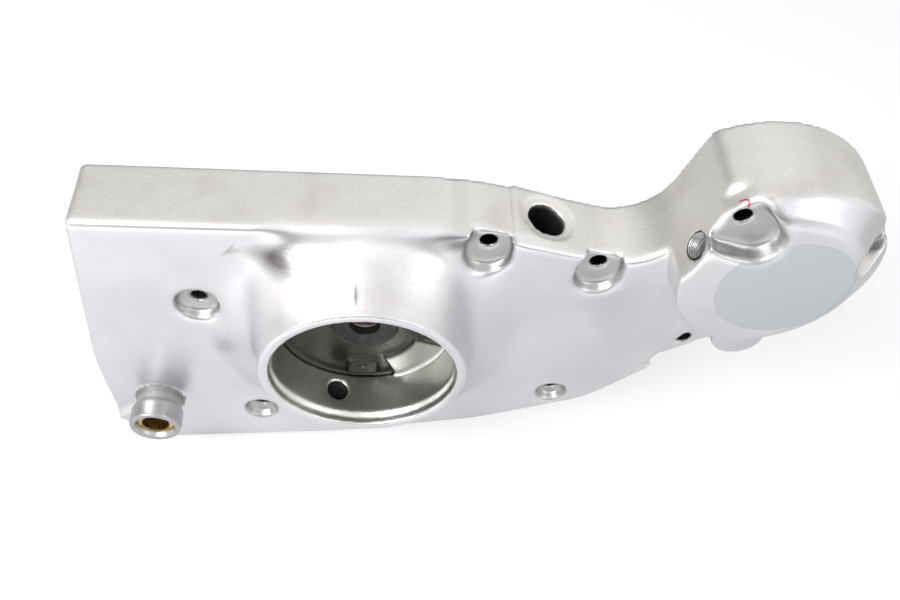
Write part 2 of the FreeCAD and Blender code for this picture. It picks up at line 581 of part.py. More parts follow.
def build_bores(body):
    """Bores of the bushes, the seal and the shift shaft, the port and the threaded hole."""
    sketch = new_sketch(body, "bore_sketch")
    draw_circles(sketch, [(x, z, radius) for _, x, z, radius, _ in BUSHES])
    extrude(body, "Pocket", "bores", sketch, INNER_TOP - ONE, inward=True)
    cylinder(body, "Subtractive", "shaft_hole", ZERO, s.boss_height, ZERO, s.shaft_hole_r, CLEAR)
    cylinder(body, "Subtractive", "seal_seat", ZERO, s.chamber_floor - s.seal_thickness, ZERO, s.seal_r, CLEAR)
    cylinder(body, "Subtractive", "shift_sink", s.shift_x, s.shift_height - s.shift_sink_depth, s.shift_z,
             s.shift_sink_r, CLEAR)
    cylinder(body, "Subtractive", "shift_bore", s.shift_x, ONE, s.shift_z, s.shift_bush_r, CLEAR)
    well = s.shift_height - s.shift_sink_depth - s.shift_bush_length
    cylinder(body, "Subtractive", "shift_well", s.shift_x, -ONE, s.shift_z, s.shift_well_r, well + ONE)
    inward = s.port_turn + 180
    x, z = moved(s.port_x, s.port_z, s.port_turn, s.wall)
    cylinder(body, "Subtractive", "port_ring", x, s.port_height, z, s.port_ring_r, s.wall + s.port_ring_depth,
             side_on(inward))
    cylinder(body, "Subtractive", "port", x, s.port_height, z, s.port_r,
             s.wall + ONE + s.port_boss_depth - s.port_end, side_on(inward))
    x, z = moved(s.tapping_x, s.tapping_z, s.tapping_turn, s.wall)
    cylinder(body, "Subtractive", "threaded_hole", x, s.tapping_height, z, s.tapping_r, s.wall + s.tapping_depth,
             side_on(s.tapping_turn + 180))


def build_fine_edges(body):
    """Small roundings at the rim of the housing and the end of the shift shaft's boss."""
    rounded = dress(body, "Fillet", "rim_edges", body.Tip, lambda edge: at_height(edge, s.rim_height), s.rim_edge)
    dress(body, "Fillet", "shift_boss_edges", rounded, lambda edge: at_height(edge, s.shift_height), s.shift_edge)


def ring(label, x, height, z, outer, inner, length):
    """A round piece with a plain bore: a bush or the seal."""
    body = new_body(label)
    cylinder(body, "Additive", label + "_outside", x, height, z, outer, length)
    cylinder(body, "Subtractive", label + "_bore", x, height, z, inner, length)
    return body


casting = new_body("cover_casting")
for stage in (build_form, build_housing, build_slant, build_outer_bosses, build_hollow, build_inner_bosses,
              build_shift_boss, build_chamber, build_seats, build_bores, build_fine_edges):
    stage(casting)
    doc.recompute()

bodies = [casting]
bush_low = s.boss_height - s.bush_proud
for label, x, z, outer, inner in BUSHES:
    bodies.append(ring(label, x, bush_low, z, outer, inner, s.bush_length))
bodies.append(ring("shift_shaft_bush", s.shift_x, s.shift_height - s.shift_sink_depth - s.shift_bush_length,
                   s.shift_z, s.shift_bush_r, s.shift_bore_r, s.shift_bush_length))
bodies.append(ring("cam_shaft_seal", ZERO, s.chamber_floor - s.seal_thickness, ZERO, s.seal_r, s.seal_bore_r,
                   s.seal_thickness))
doc.recompute()

for item in doc.Objects:
    if "Invalid" in item.State or "Error" in item.State:
        raise RuntimeError("%s: %s" % (item.Name, item.getStatusString()))
os.makedirs("parts", exist_ok=True)
for body in bodies:
    if body.Shape.isNull() or not body.Shape.isValid() or len(body.Shape.Solids) != 1:
        raise RuntimeError("%s is not one valid solid" % body.Label)
    body.Shape.exportStep("parts/%s.step" % body.Label)
    print(body.Label, round(body.Shape.Volume), "mm3")
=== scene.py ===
from collections import namedtuple
import math

import bmesh
import bpy
import numpy as np
from mathutils import Matrix, Vector
from mathutils.bvhtree import BVHTree


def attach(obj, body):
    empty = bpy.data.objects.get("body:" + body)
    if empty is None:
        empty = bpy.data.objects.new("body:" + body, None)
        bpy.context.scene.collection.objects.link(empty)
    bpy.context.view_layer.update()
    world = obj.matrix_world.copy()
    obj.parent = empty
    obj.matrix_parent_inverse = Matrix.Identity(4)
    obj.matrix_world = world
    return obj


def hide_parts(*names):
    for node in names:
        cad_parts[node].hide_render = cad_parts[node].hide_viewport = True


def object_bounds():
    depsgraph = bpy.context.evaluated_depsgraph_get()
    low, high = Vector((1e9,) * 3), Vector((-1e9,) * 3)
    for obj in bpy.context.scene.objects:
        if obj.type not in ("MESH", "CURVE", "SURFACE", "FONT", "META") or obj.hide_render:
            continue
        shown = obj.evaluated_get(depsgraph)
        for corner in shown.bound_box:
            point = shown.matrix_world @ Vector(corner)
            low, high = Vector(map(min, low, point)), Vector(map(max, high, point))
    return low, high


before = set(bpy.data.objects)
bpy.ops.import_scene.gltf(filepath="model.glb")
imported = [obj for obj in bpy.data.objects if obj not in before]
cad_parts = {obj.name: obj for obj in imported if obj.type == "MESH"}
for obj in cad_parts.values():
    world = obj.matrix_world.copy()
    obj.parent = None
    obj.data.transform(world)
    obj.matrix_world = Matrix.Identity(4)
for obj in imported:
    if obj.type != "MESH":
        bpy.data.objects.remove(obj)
cad_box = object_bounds()

# The casting is shown by a softened copy of its CAD mesh. The bushes and the seal are the CAD's own nodes.
# A height is measured outward from the gasket plane, so it is minus Y.

MM = 0.001
OUTWARD = Vector((0.0, -1.0, 0.0))

# The photograph's camera: its place in metres, and where its right side and its top point.
LENS = 36.8
CAMERA_PLACE = (0.0056, -0.2612, 0.3213)
CAMERA_RIGHT = Vector((0.99666, -0.0264, 0.0772))
CAMERA_UP = Vector((-0.0257, 0.7966, 0.6040))

# The studio. Each curve is a row of stops: a direction's part or a distance, and the brightness there.
ROOM_GLOW = 0.45
SKY_BY_HEIGHT = ((-0.3, 0.50), (0.0, 0.26), (0.30, 0.45), (0.62, 1.0), (1.0, 0.90))
SKY_BY_SIDE = ((0.45, 0.0), (0.62, 0.55), (0.85, 0.95), (1.0, 1.0))
SKY_BACK_LEFT = ((0.6, 1.0), (1.2, 0.62), (1.42, 0.60))
FLOOR_GAP = 1 * MM
FLOOR_GLOW = 0.45
# The floor's painted glow as metal mirrors it, by distance from the object.
FLOOR_SHEEN = ((0.05, 0.06), (0.18, 0.18), (0.40, 0.75))

# Places on the casting.
RECESS_RADIUS = 38.5 * MM
CHAMBER_FLOOR_Y = (-34.5 * MM, -33.5 * MM)
DISC_CENTRE = (161.7 * MM, 51.9 * MM)
DISC_RADIUS = 26.9 * MM
DISC_LOW = 45.8 * MM
SHIFT_BOSS = (-96.0 * MM, -62.5 * MM)
GUSSET_LOW = 34.0 * MM
GUSSET_END = Vector((-117.0 * MM, -32.0 * MM, -79.0 * MM))
GUSSET_WIDTH = 5.0 * MM
CABLE_HOLE_HEIGHT = 42.0 * MM
CABLE_HOLE_TURN = math.radians(-108.0)
PORT = Vector((72.5, -13.5, 52.2)) * MM
PORT_TURN = math.radians(73.5)
PEN_CENTRE = (134.8 * MM, -38.0 * MM)
PEN_RADIUS = 1.9 * MM

# The thread in the side of the gear housing: its mouth, the way it faces in degrees, and its shape.
THREAD_MOUTH = Vector((124.2, -38.0, 66.3)) * MM
THREAD_TURN = 157.0
THREAD_START = 0.3 * MM
THREAD_RADIUS = 5.3 * MM
THREAD_PITCH = 0.75 * MM
THREAD_TURNS = 6
THREAD_DEPTH = 0.55 * MM
THREAD_SLEEVE = 0.4 * MM

# Screw pockets: the hole's place, the pocket's centre, its lowest and highest height, and its radius.
Pocket = namedtuple("Pocket", "hole_x hole_z x z low top radius")
POCKETS = [Pocket(*(value * MM for value in row)) for row in (
    (48.0, 51.0, 48.0, 48.5, 26.0, 30.0, 11.5),
    (93.8, 40.4, 93.8, 38.0, 26.0, 30.0, 11.5),
    (136.3, 84.0, 138.6, 79.5, 39.0, 46.0, 14.5),
    (195.2, 66.3, 195.2, 66.3, 26.0, 31.0, 9.8),
    (-69.0, 10.2, -69.0, 10.2, 24.0, 30.2, 9.6),
    (-49.7, -73.0, -49.7, -73.0, 24.0, 30.2, 7.8),
    (89.4, -52.9, 89.4, -52.9, 24.0, 30.2, 7.2),
)]
EAR_HOLE = (143.7 * MM, -11.7 * MM, 26 * MM)
SCREW_HOLES = [(pocket.hole_x, pocket.hole_z, pocket.low) for pocket in POCKETS] + [EAR_HOLE]

# Machined places that stay crisp: centre x and z, lowest and highest height, and radius.
CRISP = [[value * MM for value in row] for row in (
    (-96.0, -62.5, 33.0, 50.0, 13.0),
    (72.5, 54.0, 0.0, 30.0, 22.0),
    (122.0, 67.0, 31.0, 45.0, 9.0),
)]

# Dark patches painted as dark reflections: centre x and z, half length and half width, and how dark. The
# first two lie beside the round housing, the third is a small dark spot on its slope, the fourth a streak
# under the edge, and the last two are faint.
PAINTED_DARK_REFLECTIONS = [(x * MM, z * MM, long * MM, wide * MM, depth) for x, z, long, wide, depth in (
    (-33.5, 46.5, 15.0, 7.0, 0.97),
    (35.0, 54.0, 10.0, 5.5, 0.80),
    (-2.9, 45.5, 1.0, 2.4, 0.9),
    (-58.0, 46.5, 16.0, 2.2, 0.55),
    (44.0, -18.0, 12.0, 26.0, 0.22),
    (104.0, 18.0, 22.0, 16.0, 0.16),
)]

# How softly the skin's edges run into each other, from 0 to 1.
SKIN_VOXEL = 0.9 * MM
SKIN_TRIANGLES = 190000
GRIND_PASSES = 240
WALL_SOFTNESS = 0.08
GEAR_SOFTNESS = 0.03
POCKET_SOFTNESS = 0.20
LEAST_SOFTNESS = 0.015

# Where softness and finishes change: each pair says where a change begins and where it ends.
WALL_LOW = (3 * MM, 9 * MM)
FOOT_RADIUS = (64 * MM, 72 * MM)
FOOT_LOW = (6 * MM, 14 * MM)
FOOT_TOP = (48 * MM, 55 * MM)
RIM_LOW = (55 * MM, 56.5 * MM)
GEAR_LEFT = (106 * MM, 114 * MM)
GEAR_LOW = (29 * MM, 33 * MM)
HOUSED_RADIUS = (58 * MM, 66 * MM)
HOUSED_LOW = (26 * MM, 34 * MM)
SATIN_TOP = (44 * MM, 46 * MM)
SATIN_FACING_OUT = (0.35, 0.60)
SATIN_FACING_UP = (-0.3, -0.1)
MACHINED_LOW = (30.5 * MM, 31.0 * MM)
RAW_TOP = (43 * MM, 44 * MM)
SLOPE_Z = (18 * MM, 24 * MM)
SLOPE_MIDDLE_X = -4 * MM
SLOPE_HALF_WIDTH = (31 * MM, 41 * MM)
SLOPE_LOW = (31 * MM, 33 * MM)
SLOPE_TOP = (56.5 * MM, 57.5 * MM)
SLOPE_SATIN = 0.8
BOSS_RADIUS = (12.5 * MM, 13.5 * MM)
BOSS_LOW = (33 * MM, 34.5 * MM)
SCREW_HOLE_RADIUS = (3.3 * MM, 3.9 * MM)
CABLE_HOLE_RADIUS = (4.6 * MM, 5.2 * MM)
PORT_RADIUS = (8.2 * MM, 8.6 * MM)
# Painted shade inside the port: how far in it reaches, and how dark it is.
PORT_SHADE_DEPTH = (-4 * MM, -1.5 * MM)
PORT_SHADE_STRENGTH = 0.9
PORT_RING_RADIUS = (12.4 * MM, 12.8 * MM)
PORT_RING_DEPTH = (-3.0 * MM, -2.2 * MM)

POLISHED = (0.80, 0.81, 0.83)
POLISHED_HAZE = (0.72, 0.73, 0.76)
SATIN = (0.88, 0.86, 0.835)
SATIN_SPECK = (0.84, 0.82, 0.795)
SATIN_CLOUD = (0.74, 0.71, 0.70)
SANDED = (0.64, 0.66, 0.69)
POCKET = (0.50, 0.51, 0.50)
MACHINED = (0.78, 0.78, 0.75)
MACHINED_SPECK = (0.70, 0.70, 0.67)
# The chamber floor, painted near black as shade and dark reflection.
CHAMBER_FLOOR_SHADE = (0.07, 0.07, 0.06)
RAW = (0.36, 0.36, 0.35)
RAW_DARK = (0.27, 0.27, 0.26)
# Painted dark reflections on the polished face.
DARK_REFLECTION_GREY = (0.16, 0.15, 0.15)
BOSS = (0.50, 0.50, 0.50)
# Painted shade in the holes and in the thread's roots.
HOLE_SHADE = (0.035, 0.035, 0.035)
PEN = (0.75, 0.12, 0.16)
THREAD_CREST = (0.80, 0.80, 0.80)
BRASS = (0.72, 0.55, 0.22)
BRASS_DARK = (0.45, 0.33, 0.12)
RUBBER = (0.025, 0.025, 0.025)
RUBBER_DUSTY = (0.07, 0.07, 0.068)
PALE_FLOOR = (0.8, 0.8, 0.8)


# Node helpers

def feed(tree, socket, value):
    """Gives a node's input a number, a colour or another node's output."""
    if isinstance(value, bpy.types.NodeSocket):
        tree.links.new(value, socket)
    elif isinstance(value, tuple):
        socket.default_value = (*value, 1.0)
    else:
        socket.default_value = value


def math_node(tree, operation, first, second=None):
    node = tree.nodes.new("ShaderNodeMath")
    node.operation = operation
    feed(tree, node.inputs[0], first)
    if second is not None:
        feed(tree, node.inputs[1], second)
    return node.outputs[0]


def lighter(tree, first, second):
    return math_node(tree, "MAXIMUM", first, second)


def split_xyz(tree, vector):
    parts = tree.nodes.new("ShaderNodeSeparateXYZ")
    tree.links.new(vector, parts.inputs[0])
    return parts.outputs


def object_place(tree):
    return tree.nodes.new("ShaderNodeTexCoord").outputs["Object"]


def length_of(tree, across, along):
    """The length of a step with these two parts."""
    squares = [math_node(tree, "POWER", part, 2.0) for part in (across, along)]
    return math_node(tree, "SQRT", math_node(tree, "ADD", *squares))


def ramp(tree, value, stops):
    """A curve from value to brightness through (value, brightness) stops."""
    low, high = stops[0][0], stops[-1][0]
    spread = tree.nodes.new("ShaderNodeMapRange")
    spread.inputs["From Min"].default_value = low
    spread.inputs["From Max"].default_value = high
    tree.links.new(value, spread.inputs["Value"])
    node = tree.nodes.new("ShaderNodeValToRGB")
    while len(node.color_ramp.elements) < len(stops):
        node.color_ramp.elements.new(0.5)
    for element, (at, level) in zip(node.color_ramp.elements, stops):
        element.position = (at - low) / (high - low)
        element.color = (level, level, level, 1.0)
    tree.links.new(spread.outputs[0], node.inputs[0])
    return node.outputs[0]


def between(tree, value, low, high):
    """0 at low, 1 at high, and a smooth step in between."""
    node = tree.nodes.new("ShaderNodeMapRange")
    node.interpolation_type = "SMOOTHSTEP"
    node.inputs["From Min"].default_value = low
    node.inputs["From Max"].default_value = high
    tree.links.new(value, node.inputs["Value"])
    return node.outputs[0]


def blend(tree, share, first, second, data_type="FLOAT"):
    """first where share is 0, second where it is 1."""
    node = tree.nodes.new("ShaderNodeMix")
    node.data_type = data_type
    feed(tree, node.inputs["A"], first)
    feed(tree, node.inputs["B"], second)
    tree.links.new(share, node.inputs["Factor"])
    return node.outputs["Result"]


def blend_colour(tree, share, first, second):
    return blend(tree, share, first, second, "RGBA")


def grain(tree, size, detail=2.0, stretch=(1.0, 1.0, 1.0)):
    """Soft cloudy noise from 0 to 1, whose lumps are about one size across, in metres."""
    mapping = tree.nodes.new("ShaderNodeMapping")
    mapping.inputs["Scale"].default_value = stretch
    tree.links.new(object_place(tree), mapping.inputs["Vector"])
    node = tree.nodes.new("ShaderNodeTexNoise")
    node.inputs["Scale"].default_value = 1.0 / size
    node.inputs["Detail"].default_value = detail
    tree.links.new(mapping.outputs[0], node.inputs["Vector"])
    return node.outputs["Fac"]


def bump(tree, height, distance, strength=1.0, below=None):
    node = tree.nodes.new("ShaderNodeBump")
    node.inputs["Distance"].default_value = distance
    node.inputs["Strength"].default_value = strength
    tree.links.new(height, node.inputs["Height"])
    if below is not None:
        tree.links.new(below, node.inputs["Normal"])
    return node.outputs[0]


def channels_of(tree, attribute):
    """The four channels of a colour attribute."""
    colours = tree.nodes.new("ShaderNodeVertexColor")
    colours.layer_name = attribute
    split = tree.nodes.new("ShaderNodeSeparateColor")
    tree.links.new(colours.outputs["Color"], split.inputs[0])
    return (*split.outputs, colours.outputs["Alpha"])


def new_material(name, metallic, roughness, colour):
    """A material, its node tree and its shader."""
    material = bpy.data.materials.new(name)
    material.use_nodes = True
    shader = material.node_tree.nodes["Principled BSDF"]
    shader.inputs["Base Color"].default_value = (*colour, 1.0)
    shader.inputs["Metallic"].default_value = metallic
    shader.inputs["Roughness"].default_value = roughness
    return material, material.node_tree, shader


# Camera, light and floor

def place_camera():
    data = bpy.data.cameras.new("camera")
    data.lens = LENS
    data.sensor_width = 36.0
    data.clip_end = 20.0
    camera = bpy.data.objects.new("camera", data)
    back = CAMERA_RIGHT.cross(CAMERA_UP)
    turn = Matrix((CAMERA_RIGHT, CAMERA_UP, back)).transposed().to_4x4()
    camera.matrix_world = Matrix.Translation(CAMERA_PLACE) @ turn
    bpy.context.scene.collection.objects.link(camera)
    bpy.context.scene.camera = camera


def place_lamp(name, place, target, side, power):
    """A square lamp that shines from its place towards a target."""
    data = bpy.data.lights.new(name, "AREA")
    data.shape = "RECTANGLE"
    data.size = side
    data.size_y = side
    data.energy = power
    lamp = bpy.data.objects.new(name, data)
    lamp.location = place
    lamp.rotation_euler = (Vector(target) - Vector(place)).to_track_quat("-Z", "Y").to_euler()
    bpy.context.scene.collection.objects.link(lamp)


def mirrored(tree, path):
    """1 for the rays that metal mirrors or glass lets through."""
    return lighter(tree, path.outputs["Is Glossy Ray"], path.outputs["Is Transmission Ray"])


def light_studio():
    """A white room for the eye; metal sees it white overhead and sideways, and greyer at the back left."""
    world = bpy.data.worlds.new("studio")
    bpy.context.scene.world = world
    world.use_nodes = True
    tree = world.node_tree
    ambient = tree.nodes["Background"]
    ambient.inputs["Color"].default_value = (1.0, 1.0, 1.0, 1.0)
    ambient.inputs["Strength"].default_value = ROOM_GLOW
    room = tree.nodes.new("ShaderNodeBackground")
    x, y, z = split_xyz(tree, tree.nodes.new("ShaderNodeTexCoord").outputs["Generated"])
    sky = ramp(tree, z, SKY_BY_HEIGHT)
    sky = lighter(tree, sky, ramp(tree, math_node(tree, "ABSOLUTE", x), SKY_BY_SIDE))
    back_left = math_node(tree, "SUBTRACT", y, x)
    sky = math_node(tree, "MULTIPLY", sky, ramp(tree, back_left, SKY_BACK_LEFT))
    path = tree.nodes.new("ShaderNodeLightPath")
    tree.links.new(lighter(tree, sky, path.outputs["Is Camera Ray"]), room.inputs["Color"])
    mix = tree.nodes.new("ShaderNodeMixShader")
    seen = lighter(tree, mirrored(tree, path), path.outputs["Is Camera Ray"])
    tree.links.new(seen, mix.inputs[0])
    tree.links.new(ambient.outputs[0], mix.inputs[1])
    tree.links.new(room.outputs[0], mix.inputs[2])
    tree.links.new(mix.outputs[0], tree.nodes["World Output"].inputs["Surface"])
    place_lamp("key", (-0.60, -0.45, 0.75), (-0.05, -0.1, -0.05), side=0.6, power=7.0)
    place_lamp("fill", (0.7, -0.6, 0.5), (0.05, 0.0, 0.0), side=0.5, power=1.2)


def lay_floor(low):
    """A pale floor that is evenly bright for the eye, and that metal mirrors with a painted glow, brighter
    the farther it lies from the object.
    """
    shape = bmesh.new()
    bmesh.ops.create_grid(shape, x_segments=8, y_segments=8, size=4.0)
    bmesh.ops.translate(shape, verts=shape.verts, vec=(0.0, 0.0, low))
    mesh = bpy.data.meshes.new("floor")
    shape.to_mesh(mesh)
    shape.free()
    floor = bpy.data.objects.new("floor", mesh)
    bpy.context.scene.collection.objects.link(floor)
    material, tree, shader = new_material("pale_floor", 0.0, 0.9, PALE_FLOOR)
    shader.inputs["Emission Color"].default_value = (1.0, 1.0, 1.0, 1.0)
    path = tree.nodes.new("ShaderNodeLightPath")
    x, y, _ = split_xyz(tree, object_place(tree))
    away = math_node(tree, "SUBTRACT", math_node(tree, "MULTIPLY", y, -1.0),
                     math_node(tree, "MULTIPLY", x, 0.25))
    sheen = math_node(tree, "MULTIPLY", mirrored(tree, path), ramp(tree, away, FLOOR_SHEEN))
    glow = math_node(tree, "MULTIPLY", path.outputs["Is Camera Ray"], FLOOR_GLOW)
    tree.links.new(math_node(tree, "ADD", glow, sheen), shader.inputs["Emission Strength"])
    mesh.materials.append(material)


# Materials

def brass_finish():
    """Turned brass with a tarnished tint."""
    material, tree, shader = new_material("turned_brass", 1.0, 0.28, BRASS)
    tarnish = between(tree, grain(tree, 4 * MM, 3.0), 0.4, 0.7)
    tree.links.new(blend_colour(tree, tarnish, BRASS, BRASS_DARK), shader.inputs["Base Color"])
    tree.links.new(blend(tree, tarnish, 0.24, 0.42), shader.inputs["Roughness"])
    turning = grain(tree, 0.8 * MM, 2.0, (0.15, 1.0, 0.15))
    tree.links.new(bump(tree, turning, 0.06 * MM), shader.inputs["Normal"])
    return material


def rubber_finish():
    """Black rubber with a little dust."""
    material, tree, shader = new_material("black_rubber", 0.0, 0.6, RUBBER)
    dust = between(tree, grain(tree, 3 * MM, 4.0), 0.5, 0.75)
    tree.links.new(blend_colour(tree, dust, RUBBER, RUBBER_DUSTY), shader.inputs["Base Color"])
    tree.links.new(bump(tree, grain(tree, 0.7 * MM, 3.0), 0.08 * MM), shader.inputs["Normal"])
    return material


def thread_finish():
    """Cut thread: bright crests, roots painted dark as shade, and a film of oil."""
    material, tree, shader = new_material("cut_thread", 1.0, 0.3, MACHINED)
    oil = between(tree, grain(tree, 1.5 * MM, 3.0), 0.4, 0.65)
    crest = tree.nodes.new("ShaderNodeAttribute")
    crest.attribute_name = "crest"
    metal = blend_colour(tree, oil, THREAD_CREST, MACHINED)
    tree.links.new(blend_colour(tree, crest.outputs["Fac"], HOLE_SHADE, metal), shader.inputs["Base Color"])
    tree.links.new(blend(tree, oil, 0.25, 0.4), shader.inputs["Roughness"])
    return material


def pen_stroke(tree, x, y, z):
    """The short hooked stroke of red pen on the gear housing's wall: part of a ring round a centre."""
    across = math_node(tree, "SUBTRACT", x, PEN_CENTRE[0])
    along = math_node(tree, "SUBTRACT", y, PEN_CENTRE[1])
    off_line = math_node(tree, "SUBTRACT", length_of(tree, across, along), PEN_RADIUS)
    off_line = math_node(tree, "ABSOLUTE", off_line)
    stroke = between(tree, off_line, 0.55 * MM, 0.25 * MM)
    hooked = math_node(tree, "GREATER_THAN", math_node(tree, "ADD", across, along), 0.8 * MM)
    on_wall = math_node(tree, "GREATER_THAN", z, 88.0 * MM)
    return math_node(tree, "MULTIPLY", stroke, math_node(tree, "MULTIPLY", hooked, on_wall))


def sanded_disc(tree, x, y, z):
    """1 on the flat end of the gear housing."""
    off_centre = length_of(tree, math_node(tree, "SUBTRACT", x, DISC_CENTRE[0]),
                           math_node(tree, "SUBTRACT", z, DISC_CENTRE[1]))
    return math_node(tree, "MULTIPLY", math_node(tree, "LESS_THAN", off_centre, DISC_RADIUS),
                     math_node(tree, "LESS_THAN", y, -DISC_LOW))


def casting_finish():
    """Polished aluminium, with the other finishes, marks, painted shade and painted dark reflections that
    paint_finishes stores laid over it.
    """
    material, tree, shader = new_material("polished_aluminium", 1.0, 0.25, POLISHED)
    satin, raw, machined, pocket = channels_of(tree, "finish")
    # The marks: painted shade in the holes, painted dark reflections, and the shift boss's end.
    hole, dark_reflection_share, boss, _ = channels_of(tree, "marks_and_shade")
    x, y, z = split_xyz(tree, object_place(tree))
    on_disc = sanded_disc(tree, x, y, z)
    cloud = grain(tree, 45 * MM, 3.0)
    fine = grain(tree, 1.2 * MM, 3.0)

    skin = blend_colour(tree, between(tree, fine, 0.35, 0.65), SATIN, SATIN_SPECK)
    skin = blend_colour(tree, between(tree, grain(tree, 30 * MM, 4.0), 0.50, 0.75), skin, SATIN_CLOUD)
    speck = between(tree, grain(tree, 2.2 * MM, 4.0), 0.60, 0.68)
    chamber_with_shade = blend_colour(tree, speck, MACHINED, MACHINED_SPECK)
    # The chamber's floor is painted near black as shade and dark reflection.
    chamber_with_shade = blend_colour(tree, between(tree, y, *CHAMBER_FLOOR_Y), chamber_with_shade, CHAMBER_FLOOR_SHADE)
    colour = blend_colour(tree, between(tree, cloud, 0.35, 0.7), POLISHED, POLISHED_HAZE)
    for share, layer in (
            (satin, skin), (on_disc, SANDED), (pocket, POCKET), (machined, chamber_with_shade),
            (raw, blend_colour(tree, cloud, RAW, RAW_DARK)), (dark_reflection_share, DARK_REFLECTION_GREY), (boss, BOSS), (hole, HOLE_SHADE),
            (pen_stroke(tree, x, y, z), PEN)):
        colour = blend_colour(tree, share, colour, layer)
    tree.links.new(colour, shader.inputs["Base Color"])

    rough = blend(tree, between(tree, cloud, 0.3, 0.75), 0.28, 0.42)
    for share, roughness in ((satin, 0.42), (on_disc, 0.45), (pocket, 0.35), (machined, 0.33), (raw, 0.60)):
        rough = blend(tree, share, rough, roughness)
    tree.links.new(rough, shader.inputs["Roughness"])

    grainy = lighter(tree, lighter(tree, satin, machined), math_node(tree, "MULTIPLY", raw, 3.0))
    ripple = bump(tree, grain(tree, 12 * MM, 2.0), 0.12 * MM)
    texture = math_node(tree, "MULTIPLY", fine, math_node(tree, "ADD", grainy, 0.12))
    tree.links.new(bump(tree, texture, 0.12 * MM, 0.8, ripple), shader.inputs["Normal"])
    return material


def dress(obj, material):
    obj.data.materials.clear()
    obj.data.materials.append(material)


# The casting's skin

Points = namedtuple("Points", "x height z from_axis facing_out facing_up")


def read_points(mesh):
    """Every point of a mesh, as columns.

    from_axis is the distance from the round housing's axis, facing_out how squarely the surface there faces
    outward or the engine, and facing_up how much it faces up along Z.
    """
    flat = np.zeros(len(mesh.vertices) * 3)
    mesh.vertices.foreach_get("co", flat)
    x, y, z = flat.reshape(-1, 3).T
    normals = np.zeros(len(mesh.vertices) * 3)
    mesh.vertices.foreach_get("normal", normals)
    _, facing_out, facing_up = normals.reshape(-1, 3).T
    return Points(x, -y, z, np.hypot(x, z), np.abs(facing_out), facing_up)


def fading(value, begin, end):
    """1 up to begin, fading to 0 at end."""
    return np.clip((end - value) / (end - begin), 0.0, 1.0)


def rising(value, begin, end):
    """0 up to begin, rising to 1 at end."""
    return fading(-value, -end, -begin)


def off_centre(points, x, z):
    return np.hypot(points.x - x, points.z - z)


def side_bore(points, x, height, z, turn):
    """How far each point lies from a bore's axis, and how far outward from its mouth along that axis."""
    sin, cos = math.sin(turn), math.cos(turn)
    off_axis = np.hypot((points.x - x) * sin - (points.z - z) * cos, points.height - height)
    return off_axis, (points.x - x) * cos + (points.z - z) * sin


def flowing(points):
    """How softly each point's surroundings were ground into each other, from 0 to 1."""
    soft = WALL_SOFTNESS * rising(points.height, *WALL_LOW)
    foot = fading(points.from_axis, *FOOT_RADIUS)
    foot *= rising(points.from_axis, RECESS_RADIUS + 1 * MM, RECESS_RADIUS + 3 * MM)
    foot *= fading(points.height, *FOOT_TOP)
    foot *= rising(points.height, *FOOT_LOW)
    soft = np.maximum(soft, foot)
    geared = rising(points.x, *GEAR_LEFT) * rising(points.height, *GEAR_LOW)
    soft = soft * (1.0 - geared) + GEAR_SOFTNESS * geared
    crisp = fading(points.from_axis, RECESS_RADIUS + 2 * MM, RECESS_RADIUS + 3 * MM)
    crisp = np.maximum(crisp, rising(points.height, *RIM_LOW))
    for x, z, low, top, radius in CRISP:
        inside = fading(off_centre(points, x, z), radius, radius + 3 * MM)
        inside *= rising(points.height, low - 2 * MM, low) * fading(points.height, top, top + 2 * MM)
        crisp = np.maximum(crisp, inside)
    for pocket in POCKETS:
        around = off_centre(points, pocket.x, pocket.z)
        around = fading(around, pocket.radius + 1 * MM, pocket.radius + 4 * MM)
        around *= rising(points.height, pocket.low - 2 * MM, pocket.low - 1 * MM)
        around *= fading(points.height, pocket.top + 2 * MM, pocket.top + 4 * MM)
        soft = soft * (1.0 - around) + POCKET_SOFTNESS * around
        hole = fading(off_centre(points, pocket.hole_x, pocket.hole_z), 4.5 * MM, 6.5 * MM)
        crisp = np.maximum(crisp, hole)
    return np.clip(soft * (1.0 - crisp) + LEAST_SOFTNESS, 0.0, 1.0)


def under_cover(mesh):
    """1 for the points on the engine's side: straight outward from them lies more of the casting."""
    tree = BVHTree.FromPolygons([point.co for point in mesh.vertices],
                                [tuple(face.vertices) for face in mesh.polygons])
    covered = np.zeros(len(mesh.vertices))
    for point in mesh.vertices:
        start = point.co + point.normal * 0.4 * MM
        if tree.ray_cast(start, OUTWARD)[0] is not None:
            covered[point.index] = 1.0
    return covered


def satin_walls(points):
    """The upper wall, as cast, away from the polished foot of the round housing."""
    housed = fading(points.from_axis, *HOUSED_RADIUS) * rising(points.height, *HOUSED_LOW)
    satin = fading(points.facing_out, *SATIN_FACING_OUT) * rising(points.facing_up, *SATIN_FACING_UP)
    return satin * (1.0 - housed) * fading(points.height, *SATIN_TOP)


def satin_slope(points):
    """The slope that carries the upper wall up to the rim of the round housing."""
    slope = rising(points.z, *SLOPE_Z) * fading(np.abs(points.x - SLOPE_MIDDLE_X), *SLOPE_HALF_WIDTH)
    return SLOPE_SATIN * slope * rising(points.height, *SLOPE_LOW) * fading(points.height, *SLOPE_TOP)


def pocket_places(points):
    found = np.zeros(len(points.x))
    for pocket in POCKETS:
        inside = fading(off_centre(points, pocket.x, pocket.z), pocket.radius, pocket.radius + 0.8 * MM)
        inside *= rising(points.height, pocket.low - 0.5 * MM, pocket.low)
        inside *= fading(points.height, pocket.top, pocket.top + 0.5 * MM)
        found = np.maximum(found, inside)
    return found


